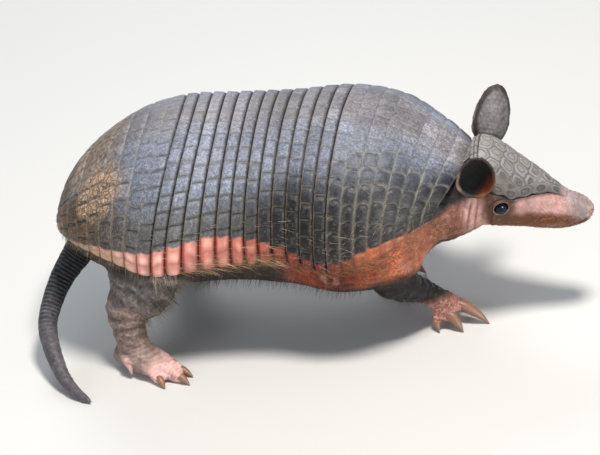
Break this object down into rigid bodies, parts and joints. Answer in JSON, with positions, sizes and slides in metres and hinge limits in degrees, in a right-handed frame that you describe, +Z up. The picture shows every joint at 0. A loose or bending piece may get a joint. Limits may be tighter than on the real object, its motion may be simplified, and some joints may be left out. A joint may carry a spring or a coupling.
{
  "type": "naked-tailed armadillo",
  "caption": "Life-size armadillo walking on all fours, banded bony shell over the back, long claws on the forefeet, bare tail curled round to the right.",
  "frame": {"origin": "on the floor, under the middle of the whole animal's bounding box", "axes": "+X from the rump to the nose, +Y to the animal's left, +Z up"},
  "size_m": [0.4226, 0.2188, 0.1812],
  "materials": {
    "shell": "slate-grey horn over bony plates, pale seams, pink lower margin",
    "head_shield": "grey-tan horny plates",
    "skin": "pinkish bare skin with sparse straw-coloured bristles",
    "leg": "grey-brown wrinkled skin with small scales, pinker toes",
    "tail": "dark fine-grained skin",
    "ear": "thin pebbled grey-brown skin",
    "claw": "pale horn",
    "eye": "wet, near black"
  },
  "bodies": {
    "root": {"band_01": "shell", "band_02": "shell", "band_03": "shell", "band_04": "shell", "band_05": "shell", "band_06": "shell", "band_07": "shell", "band_08": "shell", "band_09": "shell", "band_10": "shell", "band_11": "shell", "band_12": "shell", "ear_left": "ear", "ear_right": "ear", "eye_left": "eye", "eye_right": "eye", "fore_left_claw_1": "claw", "fore_left_claw_2": "claw", "fore_left_claw_3": "claw", "fore_left_claw_4": "claw", "fore_left_claw_5": "claw", "fore_left_forearm": "leg", "fore_left_hand": "leg", "fore_left_upper_arm": "leg", "fore_right_claw_1": "claw", "fore_right_claw_2": "claw", "fore_right_claw_3": "claw", "fore_right_claw_4": "claw", "fore_right_claw_5": "claw", "fore_right_forearm": "leg", "fore_right_hand": "leg", "fore_right_upper_arm": "leg", "head": "skin", "head_shield": "head_shield", "hind_left_claw_1": "claw", "hind_left_claw_2": "claw", "hind_left_claw_3": "claw", "hind_left_claw_4": "claw", "hind_left_claw_5": "claw", "hind_left_foot": "leg", "hind_left_shank": "leg", "hind_left_thigh": "leg", "hind_right_claw_1": "claw", "hind_right_claw_2": "claw", "hind_right_claw_3": "claw", "hind_right_claw_4": "claw", "hind_right_claw_5": "claw", "hind_right_foot": "leg", "hind_right_shank": "leg", "hind_right_thigh": "leg", "neck": "skin", "nuchal_band_1": "shell", "nuchal_band_2": "shell", "pelvic_shield": "shell", "scapular_shield": "shell", "tail_base": "tail", "tail_mid": "tail", "tail_tip": "tail", "trunk": "skin"}
  },
  "joints": []
}
